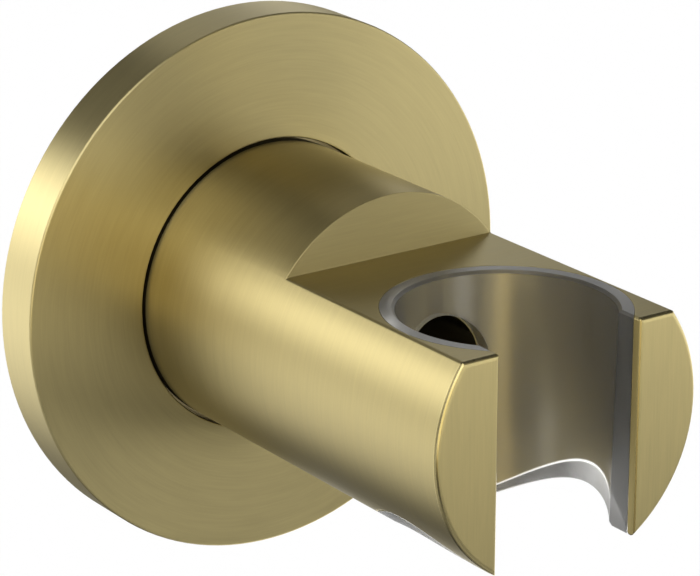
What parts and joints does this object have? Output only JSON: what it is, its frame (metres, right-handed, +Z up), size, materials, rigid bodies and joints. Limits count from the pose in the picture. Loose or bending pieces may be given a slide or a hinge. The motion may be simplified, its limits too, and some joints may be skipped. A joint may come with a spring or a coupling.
{
  "type": "hand shower holder",
  "caption": "Round bar wall holder for a hand shower, with a cover disc, a flat-topped fork, a hose slot and a clear tapered liner that seats the hose nut's cone.",
  "frame": {"origin": "centre of the cover disc's back, where the bar's axis meets the wall plane", "axes": "+Y into the wall, so the bar stands out along -Y, +X to the right seen from the room, +Z up"},
  "size_m": [0.06, 0.0576, 0.06],
  "materials": {
    "brushed_brass": "brushed round the bar, upright lines on the front faces",
    "turned_brass": "brushed in fine circles on the face, satin on the rim",
    "clear_liner": "clear, moulded, glossy",
    "plain_brass": "turned, uncoated",
    "gasket_rubber": "matt sheet",
    "ring_rubber": "moulded",
    "pin_steel": "ground",
    "bolt_steel": "stainless",
    "washer_steel": "stainless"
  },
  "bodies": {
    "root": {"holder_arm": "brushed_brass", "cover_disc": "turned_brass", "cone_liner": "clear_liner", "mounting_flange": "plain_brass", "wall_gasket": "gasket_rubber", "cover_o_ring": "ring_rubber", "locating_pins": "pin_steel", "arm_bolt": "bolt_steel", "lock_washer": "washer_steel"}
  },
  "joints": []
}
